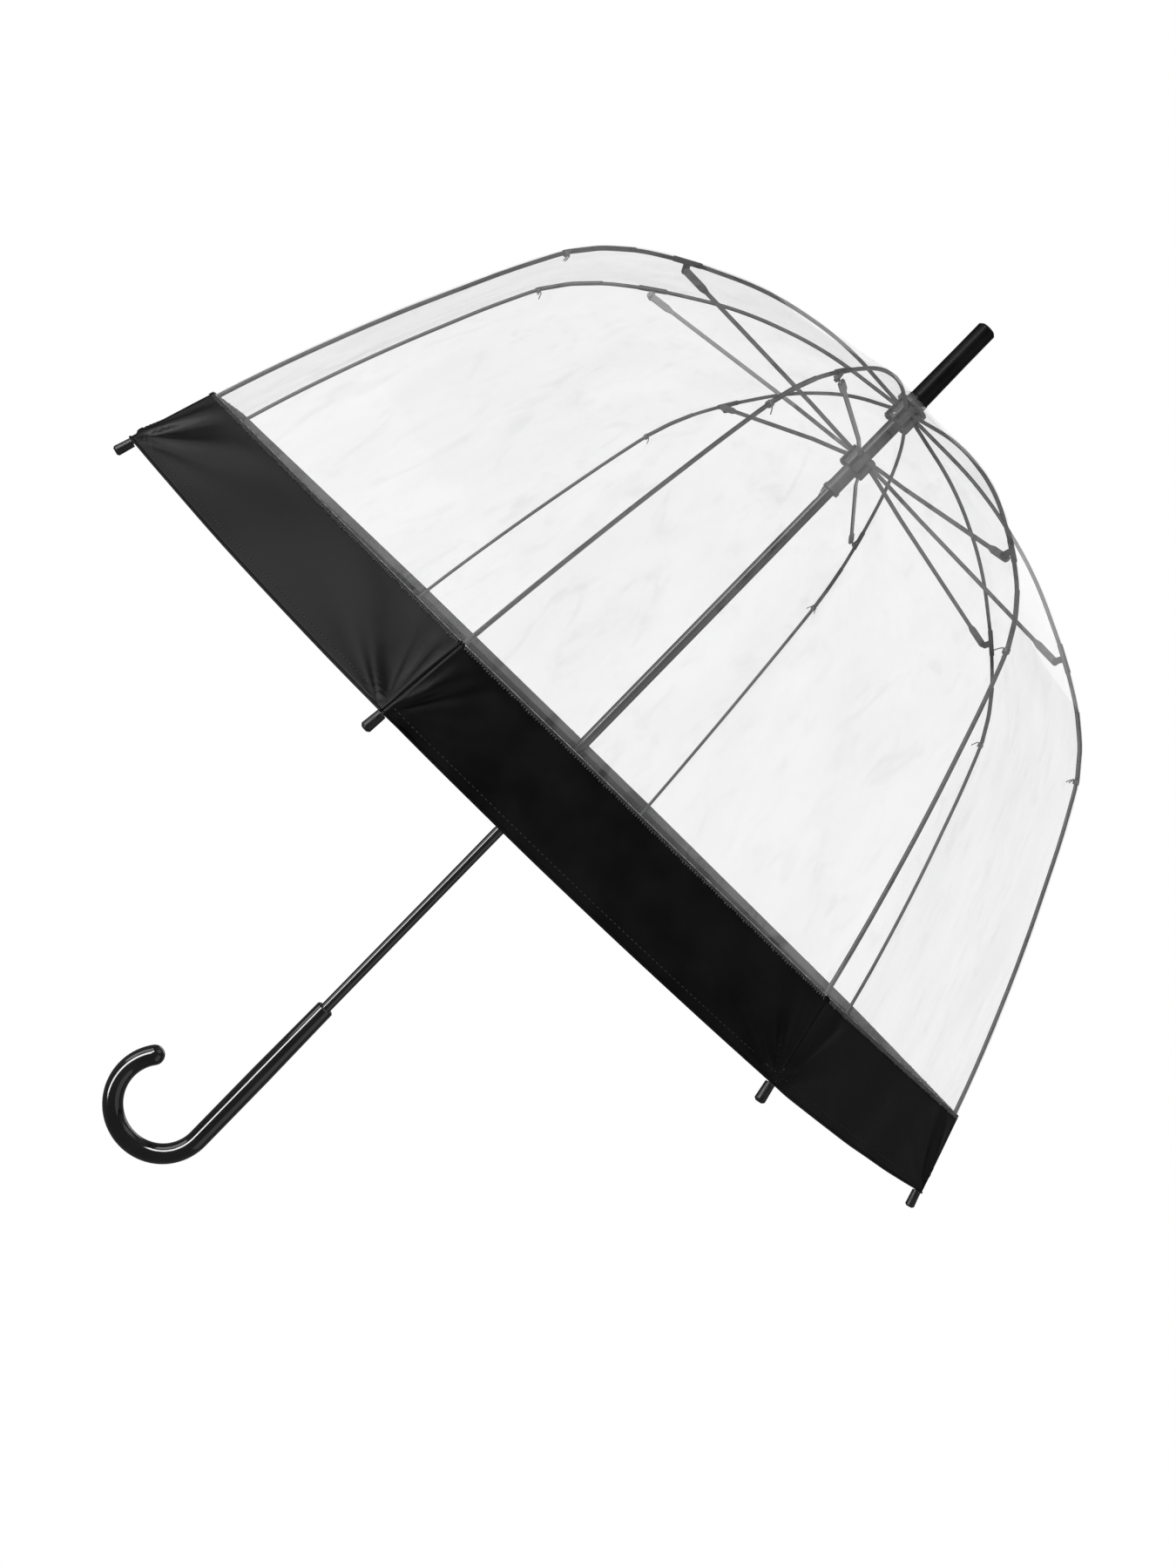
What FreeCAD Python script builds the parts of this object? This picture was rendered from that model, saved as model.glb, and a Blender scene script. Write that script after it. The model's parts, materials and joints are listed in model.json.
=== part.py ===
import FreeCAD, Part
import math
import os

# Clear dome umbrella, open.  Millimetres, +Z up along the shaft towards the
# ferrule.  The origin is on the shaft's axis in the middle of the grip.  The
# hook of the handle lies in the XZ plane and curves round to -X.
#
# One rib, stretcher and canopy panel are drawn at azimuth 0, in the XZ plane,
# and turned to their places.  A point in that plane is (radius, height).

# ---- driving dimensions ----
RIB_COUNT = 8
FIRST_RIB_AZIMUTH = 33.0
SECTOR = 360.0 / RIB_COUNT

APEX_Z = 740.0
FERRULE_LENGTH = 79.0
FERRULE_BASE_R = 8.9
FERRULE_END_R = 8.1
FERRULE_STRAIGHT = 30.0
FERRULE_RIM_HEIGHT = 6.0
FERRULE_RIM_STEP = 0.4
FERRULE_EDGE = 1.6

SHAFT_R = 4.4
SHAFT_WALL = 0.8
SHAFT_LOW_Z = 42.0
SHAFT_HIGH_Z = 764.0
PRESSED_GAP = 0.05
PIN_GAP = 0.03
RUNNING_GAP = 0.3
FIXED_BORE_R = SHAFT_R + PRESSED_GAP

CROWN_PIVOT_Z = APEX_Z - 12.0
RUNNER_PIVOT_Z = APEX_Z - 62.0
PIVOT_R = 8.0
HUB_R = 12.0
HUB_CORE_R = 5.3
HUB_ABOVE_PIVOT = 4.0
HUB_BELOW_PIVOT = 12.0
HUB_SLOT = 3.6
WIRE_R = 0.6
WIRE_HOLE_R = 0.75
EYE_R = 2.0
EYE_HALF_WIDTH = 1.2
EYE_BITE = 0.7
CUT_OVER = 1.0

RUNNER_R = 6.5
RUNNER_FLANGE_R = 7.3
RUNNER_LOW_Z = APEX_Z - 97.0
RUNNER_FLANGE_HEIGHT = 3.0
RUNNER_BORE_R = SHAFT_R + RUNNING_GAP
RUNNER_TRAVEL = 379.8
STOP_SLEEVE_R = 6.0

RIB_R = 1.5
CORNER_SHARE = 0.45
BEND_POINT = (277.0, APEX_Z - 114.0)
TIP_POINT = (419.0, APEX_Z - 437.0)
BRACKET_POINT = (222.0, APEX_Z - 72.0)
BRACKET_PIVOT = (218.4, APEX_Z - 78.0)
UPPER_RIB = [
    (PIVOT_R, CROWN_PIVOT_Z),
    (85.0, APEX_Z - 17.0),
    (158.0, APEX_Z - 38.0),
    BRACKET_POINT,
    (255.0, APEX_Z - 94.0),
    BEND_POINT,
]
LOWER_RIB = [
    BEND_POINT,
    (293.0, APEX_Z - 134.0),
    (314.0, APEX_Z - 173.0),
    (355.0, APEX_Z - 260.0),
    (391.0, APEX_Z - 350.0),
    TIP_POINT,
]
BEND_GAP = 0.35
COLLAR_R = 2.0
COLLAR_LENGTH = 23.0
COLLAR_INSET = 0.45
EAR_HALF_WIDTH = 1.1
EAR_R = 2.4
EAR_PIN_R = 1.0

STRIP_OFFSET = 3.8
STRIP_THICKNESS = 1.7
STRIP_DEPTH = 3.0
STRIP_JOG_START = 20.0
STRIP_JOG_END = 60.0
FLUTE_WIDTH = 0.9
FLUTE_DEPTH = 1.8
FLUTE_AFTER_JOG = 4.0
FORK_LENGTH = 23.0
FORK_DEPTH = 5.4
FORK_TAPER = 5.0
RIVET_HEAD_R = 1.7
RIVET_HEAD_HEIGHT = 0.8

FILM_GAP = 1.0
FILM_THICKNESS = 0.3
FILM_SEAM_GAP = 0.3
HEM_GAP = 0.4
HEM_THICKNESS = 0.6
HEM_HEIGHT = 63.0
FILM_TOP_Z = CROWN_PIVOT_Z + HUB_ABOVE_PIVOT + 0.4
FILM_TOP = [(6.5, FILM_TOP_Z), (13.5, FILM_TOP_Z)]

CAP_LENGTH = 13.0
CAP_R = 3.3
CAP_MOUTH_R = 3.6
CAP_GAP = 0.4
CAP_EDGE = 1.2

WASHER_R = 14.0
WASHER_THICKNESS = 2.4
WASHER_LOW_Z = CROWN_PIVOT_Z + HUB_ABOVE_PIVOT + 1.4
FERRULE_LOW_Z = WASHER_LOW_Z + WASHER_THICKNESS + 0.1
STOP_SLEEVE_LOW_Z = RUNNER_PIVOT_Z + HUB_ABOVE_PIVOT + RUNNING_GAP
CROWN_LOW_Z = CROWN_PIVOT_Z - HUB_BELOW_PIVOT
CROSS_PIN_Z = CROWN_PIVOT_Z - 8.5
CROSS_PIN_AZIMUTH = FIRST_RIB_AZIMUTH + SECTOR / 2
CROSS_PIN_R = 1.0
CROSS_PIN_HALF_LENGTH = 11.4

HANDLE_TOP_Z = 74.0
HANDLE_TOP_R = 7.4
HANDLE_TOP_EDGE = 1.0
GRIP_R = 8.2
HOOK_START_Z = -72.0
HOOK_RADIUS = 39.6
HOOK_SWEEP = 217.0
HANDLE_BORE_DEPTH = 34.0

CATCH_AZIMUTH = 180.0
CATCH_WIDTH = 2.2
CATCH_PLATE_LENGTH = 30.0
CATCH_PLATE_THICKNESS = 1.4
CATCH_PLATE_X = 1.4
CATCH_TOOTH_LENGTH = 13.0
CATCH_REACH = 6.3
CATCH_TIP_HEIGHT = 2.0
CATCH_SLOT_MARGIN = 0.4
CATCH_INTO_RUNNER = 20.0
TOP_CATCH_Z = RUNNER_LOW_Z - RUNNING_GAP
BOTTOM_CATCH_Z = RUNNER_LOW_Z - RUNNER_TRAVEL + CATCH_INTO_RUNNER
WINDOW_LENGTH = 17.0

VERTICAL = FreeCAD.Vector(0, 0, 1)
TANGENT = FreeCAD.Vector(0, 1, 0)


# ---- helpers ----
def at(point, y=0.0):
    """A (radius, height) point of the XZ plane as a vector."""
    return FreeCAD.Vector(point[0], y, point[1])


def step(start, end):
    """The unit vector from one (radius, height) point to another."""
    length = math.dist(start, end)
    return ((end[0] - start[0]) / length, (end[1] - start[1]) / length)


def along(start, end, distance):
    """The point at a distance from start on the way to end."""
    unit = step(start, end)
    return (start[0] + unit[0] * distance, start[1] + unit[1] * distance)


def turned(shape, azimuth):
    """A copy of a shape turned about the shaft's axis."""
    copy = shape.copy()
    copy.rotate(FreeCAD.Vector(0, 0, 0), VERTICAL, azimuth)
    return copy


def lathe(outline):
    """A solid of revolution about the shaft's axis from (radius, height) points."""
    points = [at(point) for point in outline]
    face = Part.Face(Part.makePolygon(points + [points[0]]))
    return face.revolve(FreeCAD.Vector(0, 0, 0), VERTICAL, 360)


def pipe(low_z, high_z, outer_r, inner_r):
    """A straight tube about the shaft's axis."""
    return lathe([(inner_r, low_z), (outer_r, low_z), (outer_r, high_z), (inner_r, high_z)])


def cross_pin(centre, radius, half_width):
    """A cylinder across the XZ plane, centred on it."""
    return Part.makeCylinder(radius, 2 * half_width, at(centre, -half_width), TANGENT)


def rounded_path(points):
    """Straight runs joined by tangent arcs, in the XZ plane."""
    edges = []
    start = points[0]
    for before, corner, after in zip(points, points[1:], points[2:]):
        arrive = step(before, corner)
        leave = step(corner, after)
        turn = math.acos(min(1.0, arrive[0] * leave[0] + arrive[1] * leave[1]))
        reach = CORNER_SHARE * min(math.dist(before, corner), math.dist(corner, after))
        radius = reach / math.tan(turn / 2)
        first = along(corner, before, reach)
        last = along(corner, after, reach)
        inward = step(corner, ((first[0] + last[0]) / 2, (first[1] + last[1]) / 2))
        bulge = radius / math.cos(turn / 2) - radius
        middle = (corner[0] + inward[0] * bulge, corner[1] + inward[1] * bulge)
        edges.append(Part.LineSegment(at(start), at(first)).toShape())
        edges.append(Part.Arc(at(first), at(middle), at(last)).toShape())
        start = last
    edges.append(Part.LineSegment(at(start), at(points[-1])).toShape())
    return Part.Wire(edges)


def rod(points, radius):
    """A round rod along a rounded path in the XZ plane."""
    direction = step(points[0], points[1])
    circle = Part.Circle(at(points[0]), at(direction), radius).toShape()
    return rounded_path(points).makePipeShell([Part.Wire([circle])], True, False)


def shifted_outline(points, distance):
    """The points of a line moved outwards, away from the dome's inside."""
    moved = []
    for index, point in enumerate(points):
        before = points[max(index - 1, 0)]
        after = points[min(index + 1, len(points) - 1)]
        unit = step(before, after)
        moved.append((point[0] - unit[1] * distance, point[1] + unit[0] * distance))
    return moved


def panel(inner_line, thickness, margin):
    """A flat-sided panel between two ribs, margin short of each rib's plane."""
    outer_line = shifted_outline(inner_line, thickness)
    outline = [at(point) for point in inner_line + outer_line[::-1]]
    half = math.radians(SECTOR / 2)
    sections = []
    for side in (-1, 1):
        corners = []
        for point in outline:
            across = side * (point.x * math.sin(half) - margin)
            corners.append(FreeCAD.Vector(point.x * math.cos(half), across, point.z))
        sections.append(Part.makePolygon(corners + [corners[0]]))
    return Part.makeLoft(sections, True, True)


def notched_hub(pivot_z):
    """A hub with a radial slot for each rib or stretcher, without its bore."""
    low = pivot_z - HUB_BELOW_PIVOT
    height = HUB_ABOVE_PIVOT + HUB_BELOW_PIVOT
    hub = Part.makeCylinder(HUB_R, height, FreeCAD.Vector(0, 0, low))
    slot = Part.makeBox(HUB_R, HUB_SLOT, height, FreeCAD.Vector(HUB_CORE_R, -HUB_SLOT / 2, low))
    for index in range(RIB_COUNT):
        hub = hub.cut(turned(slot, FIRST_RIB_AZIMUTH + index * SECTOR))
    ring_groove = Part.makeTorus(PIVOT_R, WIRE_R + PIN_GAP, FreeCAD.Vector(0, 0, pivot_z))
    return hub.cut(ring_groove)


def pivot_wire(pivot_z):
    """The wire ring that the eyes of the ribs or stretchers turn on."""
    return Part.makeTorus(PIVOT_R, WIRE_R, FreeCAD.Vector(0, 0, pivot_z))


def add_eye(rod_shape, pivot):
    """A rib or stretcher with a flat eye, bored for the pivot wire, on its inner end."""
    ring = cross_pin(pivot, EYE_R, EYE_HALF_WIDTH)
    hole = cross_pin(pivot, WIRE_HOLE_R, EYE_HALF_WIDTH + CUT_OVER)
    return rod_shape.fuse(ring).cut(hole)


def save(name, shape):
    """Write one node, and stop if it isn't made of valid closed solids."""
    if not shape.isValid() or not shape.Solids:
        raise RuntimeError(name + " is not a valid solid")
    shape.exportStep("parts/" + name + ".step")


# ---- the shaft and what is fixed to it ----
def crown_cross_pin(radius, half_length):
    """The pin through the crown and the shaft."""
    pin = Part.makeCylinder(radius, 2 * half_length, FreeCAD.Vector(-half_length, 0, CROSS_PIN_Z),
                            FreeCAD.Vector(1, 0, 0))
    return turned(pin, CROSS_PIN_AZIMUTH)


def catch_slot(tooth_high_z):
    """The slot in the shaft's wall that a catch's tooth comes out of."""
    width = CATCH_WIDTH + 2 * CATCH_SLOT_MARGIN
    length = CATCH_TOOTH_LENGTH + 2 * CATCH_SLOT_MARGIN
    corner = FreeCAD.Vector(0, -width / 2, tooth_high_z - CATCH_TOOTH_LENGTH - CATCH_SLOT_MARGIN)
    return turned(Part.makeBox(SHAFT_R + CUT_OVER, width, length, corner), CATCH_AZIMUTH)


def make_shaft():
    tube = pipe(SHAFT_LOW_Z, SHAFT_HIGH_Z, SHAFT_R, SHAFT_R - SHAFT_WALL)
    tube = tube.cut(crown_cross_pin(CROSS_PIN_R + PIN_GAP, HUB_R))
    tube = tube.cut(catch_slot(TOP_CATCH_Z))
    return tube.cut(catch_slot(BOTTOM_CATCH_Z))


def make_catch(tooth_high_z):
    """A leaf inside the shaft with a wedge-shaped tooth through the slot."""
    tooth_low_z = tooth_high_z - CATCH_TOOTH_LENGTH
    plate_x = CATCH_PLATE_X + CATCH_PLATE_THICKNESS
    corners = [
        (plate_x, tooth_high_z),
        (CATCH_REACH, tooth_high_z),
        (CATCH_REACH, tooth_high_z - CATCH_TIP_HEIGHT),
        (plate_x, tooth_low_z),
        (plate_x, tooth_high_z - CATCH_PLATE_LENGTH),
        (CATCH_PLATE_X, tooth_high_z - CATCH_PLATE_LENGTH),
        (CATCH_PLATE_X, tooth_high_z),
    ]
    points = [at(corner, -CATCH_WIDTH / 2) for corner in corners]
    face = Part.Face(Part.makePolygon(points + [points[0]]))
    return turned(face.extrude(TANGENT * CATCH_WIDTH), CATCH_AZIMUTH)


def make_ferrule():
    low = FERRULE_LOW_Z
    rim_top = low + FERRULE_RIM_HEIGHT
    top = APEX_Z + FERRULE_LENGTH
    bore_top = SHAFT_HIGH_Z + 1.0
    outline = [
        (FIXED_BORE_R, low),
        (FERRULE_BASE_R, low),
        (FERRULE_BASE_R, rim_top),
        (FERRULE_BASE_R - FERRULE_RIM_STEP, rim_top + 1.0),
        (FERRULE_END_R, top - FERRULE_STRAIGHT),
        (FERRULE_END_R, top - FERRULE_EDGE),
        (FERRULE_END_R - FERRULE_EDGE, top),
        (0.0, top),
        (0.0, bore_top),
        (FIXED_BORE_R, bore_top),
    ]
    return lathe(outline)


def make_crown():
    crown = notched_hub(CROWN_PIVOT_Z)
    height = HUB_ABOVE_PIVOT + HUB_BELOW_PIVOT + 2 * CUT_OVER
    bore_low = FreeCAD.Vector(0, 0, CROWN_LOW_Z - CUT_OVER)
    bore = Part.makeCylinder(FIXED_BORE_R, height, bore_low)
    return crown.cut(bore).cut(crown_cross_pin(CROSS_PIN_R + PIN_GAP, HUB_R + CUT_OVER))


def make_handle():
    """A straight grip that runs into a round hook with a rounded end."""
    outline = [
        (0.0, HANDLE_TOP_Z),
        (HANDLE_TOP_R - HANDLE_TOP_EDGE, HANDLE_TOP_Z),
        (HANDLE_TOP_R, HANDLE_TOP_Z - HANDLE_TOP_EDGE),
        (GRIP_R, 0.0),
        (GRIP_R, HOOK_START_Z),
        (0.0, HOOK_START_Z),
    ]
    grip = lathe(outline)
    centre = FreeCAD.Vector(-HOOK_RADIUS, 0, HOOK_START_Z)
    circle = Part.makeCircle(GRIP_R, FreeCAD.Vector(0, 0, HOOK_START_Z), VERTICAL)
    hook = Part.Face(Part.Wire([circle])).revolve(centre, TANGENT, HOOK_SWEEP)
    angle = math.radians(HOOK_SWEEP)
    end = FreeCAD.Vector(-HOOK_RADIUS + HOOK_RADIUS * math.cos(angle), 0,
                         HOOK_START_Z - HOOK_RADIUS * math.sin(angle))
    handle = grip.fuse(hook).fuse(Part.makeSphere(GRIP_R, end))
    bore_low = HANDLE_TOP_Z - HANDLE_BORE_DEPTH
    bore = Part.makeCylinder(FIXED_BORE_R, HANDLE_BORE_DEPTH, FreeCAD.Vector(0, 0, bore_low))
    return handle.cut(bore)


# ---- the runner ----
def make_runner():
    """The sliding sleeve, with its notched hub on top and a flange below."""
    runner = notched_hub(RUNNER_PIVOT_Z)
    hub_low = RUNNER_PIVOT_Z - HUB_BELOW_PIVOT
    sleeve = Part.makeCylinder(RUNNER_R, hub_low - RUNNER_LOW_Z, FreeCAD.Vector(0, 0, RUNNER_LOW_Z))
    flange = Part.makeCylinder(RUNNER_FLANGE_R, RUNNER_FLANGE_HEIGHT, FreeCAD.Vector(0, 0, RUNNER_LOW_Z))
    bore_length = RUNNER_PIVOT_Z + HUB_ABOVE_PIVOT - RUNNER_LOW_Z + 2 * CUT_OVER
    bore = Part.makeCylinder(RUNNER_BORE_R, bore_length, FreeCAD.Vector(0, 0, RUNNER_LOW_Z - CUT_OVER))
    window_width = CATCH_WIDTH + 4 * CATCH_SLOT_MARGIN
    window_low = RUNNER_LOW_Z + CATCH_INTO_RUNNER - CATCH_TOOTH_LENGTH - 2 * CATCH_SLOT_MARGIN
    corner = FreeCAD.Vector(0, -window_width / 2, window_low)
    window = Part.makeBox(RUNNER_FLANGE_R + CUT_OVER, window_width, WINDOW_LENGTH, corner)
    return runner.fuse(sleeve).fuse(flange).cut(bore).cut(turned(window, CATCH_AZIMUTH))


# ---- ribs and stretchers ----
def make_upper_rib():
    """The rib from the crown to the bend, with the stretcher's bracket on it."""
    pivot = UPPER_RIB[0]
    points = list(UPPER_RIB)
    points[0] = along(pivot, UPPER_RIB[1], EYE_R - EYE_BITE)
    points[-1] = along(BEND_POINT, UPPER_RIB[-2], RIB_R + BEND_GAP)
    rib = add_eye(rod(points, RIB_R), pivot)

    before = along(BRACKET_POINT, UPPER_RIB[2], COLLAR_LENGTH)
    after = along(BRACKET_POINT, UPPER_RIB[4], COLLAR_LENGTH)
    unit = step(before, after)
    middle = along(BRACKET_POINT, BRACKET_PIVOT, COLLAR_INSET)
    start = (middle[0] - unit[0] * COLLAR_LENGTH / 2, middle[1] - unit[1] * COLLAR_LENGTH / 2)
    collar = Part.makeCylinder(COLLAR_R, COLLAR_LENGTH, at(start), at(unit))
    ear = cross_pin(BRACKET_PIVOT, EAR_R, EAR_HALF_WIDTH)
    web = Part.makeBox(2 * EAR_R, 2 * EAR_HALF_WIDTH, math.dist(BRACKET_POINT, BRACKET_PIVOT))
    web.translate(FreeCAD.Vector(-EAR_R, -EAR_HALF_WIDTH, 0))
    lean = step(BRACKET_PIVOT, BRACKET_POINT)
    tilt = math.degrees(math.atan2(lean[0], lean[1]))
    web.rotate(FreeCAD.Vector(0, 0, 0), TANGENT, tilt)
    web.translate(at(BRACKET_PIVOT))
    stub_half = STRIP_OFFSET - STRIP_THICKNESS / 2 - RUNNING_GAP
    stub = cross_pin(BRACKET_PIVOT, EAR_PIN_R, stub_half)
    bracket = collar.fuse([ear, web, stub]).cut(rib)
    return Part.makeCompound([rib] + bracket.Solids)


def make_lower_rib():
    """The rib from the bend to its tip, with the cap that holds the hem."""
    points = list(LOWER_RIB)
    points[0] = along(BEND_POINT, LOWER_RIB[1], BEND_GAP)
    rib = rod(points, RIB_R).fuse(Part.makeSphere(RIB_R, at(BEND_POINT)))
    unit = step(LOWER_RIB[-2], TIP_POINT)
    peg = Part.makeCylinder(RIB_R, CAP_LENGTH / 2, at(TIP_POINT), at(unit))
    rib = rib.fuse(peg)
    base = (TIP_POINT[0] + unit[0] * CAP_GAP, TIP_POINT[1] + unit[1] * CAP_GAP)
    body_length = CAP_LENGTH - CAP_EDGE
    body = Part.makeCone(CAP_R, CAP_MOUTH_R, body_length, at(base), at(unit))
    far = (base[0] + unit[0] * body_length, base[1] + unit[1] * body_length)
    nose = Part.makeCone(CAP_MOUTH_R, CAP_MOUTH_R - CAP_EDGE, CAP_EDGE, at(far), at(unit))
    cap = body.fuse(nose).cut(rib)
    return Part.makeCompound([rib] + cap.Solids)


def make_fork(length):
    """The deeper, round-ended blade of a stretcher beside the bracket, along +X."""
    half = FORK_DEPTH / 2
    start = length - FORK_LENGTH
    side = [
        (start, -STRIP_DEPTH / 2),
        (start + FORK_TAPER, -half),
        (length, -half),
        (length, half),
        (start + FORK_TAPER, half),
        (start, STRIP_DEPTH / 2),
    ]
    low = STRIP_OFFSET - STRIP_THICKNESS / 2
    corners = [at(point, low) for point in side]
    blade = Part.Face(Part.makePolygon(corners + [corners[0]])).extrude(TANGENT * STRIP_THICKNESS)
    end = Part.makeCylinder(half, STRIP_THICKNESS, at((length, 0.0), low), TANGENT)
    head_start = at((length, 0.0), low + STRIP_THICKNESS)
    head = Part.makeCylinder(RIVET_HEAD_R, RIVET_HEAD_HEIGHT, head_start, TANGENT)
    return blade.fuse([end, head])


def make_stretcher():
    """A fluted strip from the runner's hub to the side of the rib's bracket."""
    pivot = (PIVOT_R, RUNNER_PIVOT_Z)
    length = math.dist(pivot, BRACKET_PIVOT)
    half = STRIP_THICKNESS / 2
    strip_start = EYE_R - EYE_BITE
    outline = [
        (strip_start, -half),
        (STRIP_JOG_START, -half),
        (STRIP_JOG_END, STRIP_OFFSET - half),
        (length, STRIP_OFFSET - half),
        (length, STRIP_OFFSET + half),
        (STRIP_JOG_END, STRIP_OFFSET + half),
        (STRIP_JOG_START, half),
        (strip_start, half),
    ]
    corners = [FreeCAD.Vector(x, y, -STRIP_DEPTH / 2) for x, y in outline]
    strip = Part.Face(Part.makePolygon(corners + [corners[0]])).extrude(VERTICAL * STRIP_DEPTH)
    flute_start = STRIP_JOG_END + FLUTE_AFTER_JOG
    flute_length = length - FORK_LENGTH - flute_start
    flute_corner = FreeCAD.Vector(flute_start, STRIP_OFFSET - FLUTE_WIDTH / 2, -STRIP_DEPTH / 2)
    flute = Part.makeBox(flute_length, FLUTE_WIDTH, FLUTE_DEPTH, flute_corner)
    stretcher = add_eye(strip.cut(flute).fuse(make_fork(length)), (0.0, 0.0))

    unit = step(pivot, BRACKET_PIVOT)
    stretcher.rotate(FreeCAD.Vector(0, 0, 0), TANGENT, -math.degrees(math.atan2(unit[1], unit[0])))
    stretcher.translate(at(pivot))
    return stretcher


# ---- canopy ----
def film_line(points):
    """The inside face of the film over a stretch of rib."""
    return shifted_outline(points, RIB_R + FILM_GAP)


def hem_top():
    """The point on the rib's line level with the top edge of the hem."""
    return along(TIP_POINT, LOWER_RIB[-2], HEM_HEIGHT)


def make_upper_panel():
    line = film_line(UPPER_RIB[1:] + [LOWER_RIB[1]])[:-1]
    return panel(FILM_TOP + line, FILM_THICKNESS, FILM_SEAM_GAP)


def make_lower_panel():
    line = film_line([UPPER_RIB[-2]] + LOWER_RIB)[1:]
    start = along(line[0], line[1], FILM_SEAM_GAP)
    return panel([start] + line[1:], FILM_THICKNESS, FILM_SEAM_GAP)


def make_hem():
    line = shifted_outline([hem_top(), TIP_POINT], RIB_R + FILM_GAP + FILM_THICKNESS + HEM_GAP)
    return panel(line, HEM_THICKNESS, FILM_SEAM_GAP)


# ---- everything ----
os.makedirs("parts", exist_ok=True)

save("shaft", make_shaft())
save("ferrule", make_ferrule())
save("crown_notch", make_crown())
save("crown_wire", pivot_wire(CROWN_PIVOT_Z))
save("crown_pin", crown_cross_pin(CROSS_PIN_R, CROSS_PIN_HALF_LENGTH))
save("canopy_washer", pipe(WASHER_LOW_Z, WASHER_LOW_Z + WASHER_THICKNESS, WASHER_R, FIXED_BORE_R))
save("stop_sleeve", pipe(STOP_SLEEVE_LOW_Z, CROWN_LOW_Z, STOP_SLEEVE_R, FIXED_BORE_R))
save("handle", make_handle())
save("top_catch", make_catch(TOP_CATCH_Z))
save("bottom_catch", make_catch(BOTTOM_CATCH_Z))
save("runner_sleeve", make_runner())
save("runner_wire", pivot_wire(RUNNER_PIVOT_Z))

on_ribs = {
    "rib_upper": make_upper_rib(),
    "rib_lower": make_lower_rib(),
    "stretcher": make_stretcher(),
}
between_ribs = {
    "panel_upper": make_upper_panel(),
    "panel_lower": make_lower_panel(),
    "hem": make_hem(),
}
for index in range(RIB_COUNT):
    number = "_" + str(index + 1)
    azimuth = FIRST_RIB_AZIMUTH + index * SECTOR
    for name, shape in on_ribs.items():
        save(name + number, turned(shape, azimuth))
    for name, shape in between_ribs.items():
        save(name + number, turned(shape, azimuth + SECTOR / 2))
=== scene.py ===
import json
import math

import bpy
import numpy as np
from mathutils import Matrix, Vector


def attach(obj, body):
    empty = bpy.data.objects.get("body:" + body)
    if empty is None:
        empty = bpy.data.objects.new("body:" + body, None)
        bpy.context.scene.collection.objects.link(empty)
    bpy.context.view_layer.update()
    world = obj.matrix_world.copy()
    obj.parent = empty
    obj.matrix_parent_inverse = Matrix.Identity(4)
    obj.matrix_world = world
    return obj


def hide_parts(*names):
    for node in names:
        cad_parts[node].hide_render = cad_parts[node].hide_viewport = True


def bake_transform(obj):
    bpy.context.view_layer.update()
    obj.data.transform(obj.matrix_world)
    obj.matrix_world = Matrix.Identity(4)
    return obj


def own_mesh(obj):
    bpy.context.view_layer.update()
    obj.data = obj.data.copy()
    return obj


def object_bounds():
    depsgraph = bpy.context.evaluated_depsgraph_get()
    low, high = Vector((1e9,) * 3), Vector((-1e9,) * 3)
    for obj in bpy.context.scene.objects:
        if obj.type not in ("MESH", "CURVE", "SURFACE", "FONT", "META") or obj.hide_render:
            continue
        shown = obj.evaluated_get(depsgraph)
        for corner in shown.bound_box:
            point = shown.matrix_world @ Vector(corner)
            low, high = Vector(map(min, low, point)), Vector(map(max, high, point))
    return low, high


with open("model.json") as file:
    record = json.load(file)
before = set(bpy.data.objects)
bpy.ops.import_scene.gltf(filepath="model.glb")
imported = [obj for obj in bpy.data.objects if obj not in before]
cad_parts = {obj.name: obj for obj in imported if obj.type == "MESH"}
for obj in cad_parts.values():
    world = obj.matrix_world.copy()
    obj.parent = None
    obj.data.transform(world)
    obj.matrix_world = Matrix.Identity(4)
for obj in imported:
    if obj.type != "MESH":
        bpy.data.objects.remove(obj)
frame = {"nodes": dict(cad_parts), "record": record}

# Clear dome umbrella, open.  Metres, +Z up along the shaft, the hook towards -X.
# A point of a rib's plane is (radius, height).

CAD_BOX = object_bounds()

# ---- sizes and places ----
RIB_COUNT = 8
FIRST_RIB_AZIMUTH = 33.0
SECTOR = 360.0 / RIB_COUNT
HALF_SECTOR = math.radians(SECTOR / 2)

APEX_Z = 0.740
RIB_R = 0.0015
BEND = (0.277, APEX_Z - 0.114)
TIP = (0.419, APEX_Z - 0.437)
BRACKET = (0.222, APEX_Z - 0.072)
UPPER_RIB = [(0.008, APEX_Z - 0.012), (0.085, APEX_Z - 0.017), (0.158, APEX_Z - 0.038), BRACKET,
             (0.255, APEX_Z - 0.094), BEND]
LOWER_RIB = [BEND, (0.293, APEX_Z - 0.134), (0.314, APEX_Z - 0.173), (0.355, APEX_Z - 0.260),
             (0.391, APEX_Z - 0.350), TIP]
FILM_OFF_RIB = 0.0026
FILM_CROWN = [(0.0118, APEX_Z - 0.0073), (0.0140, APEX_Z - 0.0074)]
FILM_MEETS_RIB_R = 0.03
FILM_ROUGH_POINTS = 60
FILM_LINE_POINTS = 400
HEM_HEIGHT = 0.063
HEM_OFF_RIB = 0.0037
FILM_OVER_HEM = 0.007


def rib_azimuth(index):
    return FIRST_RIB_AZIMUTH + index * SECTOR


def panel_azimuth(index):
    return FIRST_RIB_AZIMUTH + (index + 0.5) * SECTOR


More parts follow.
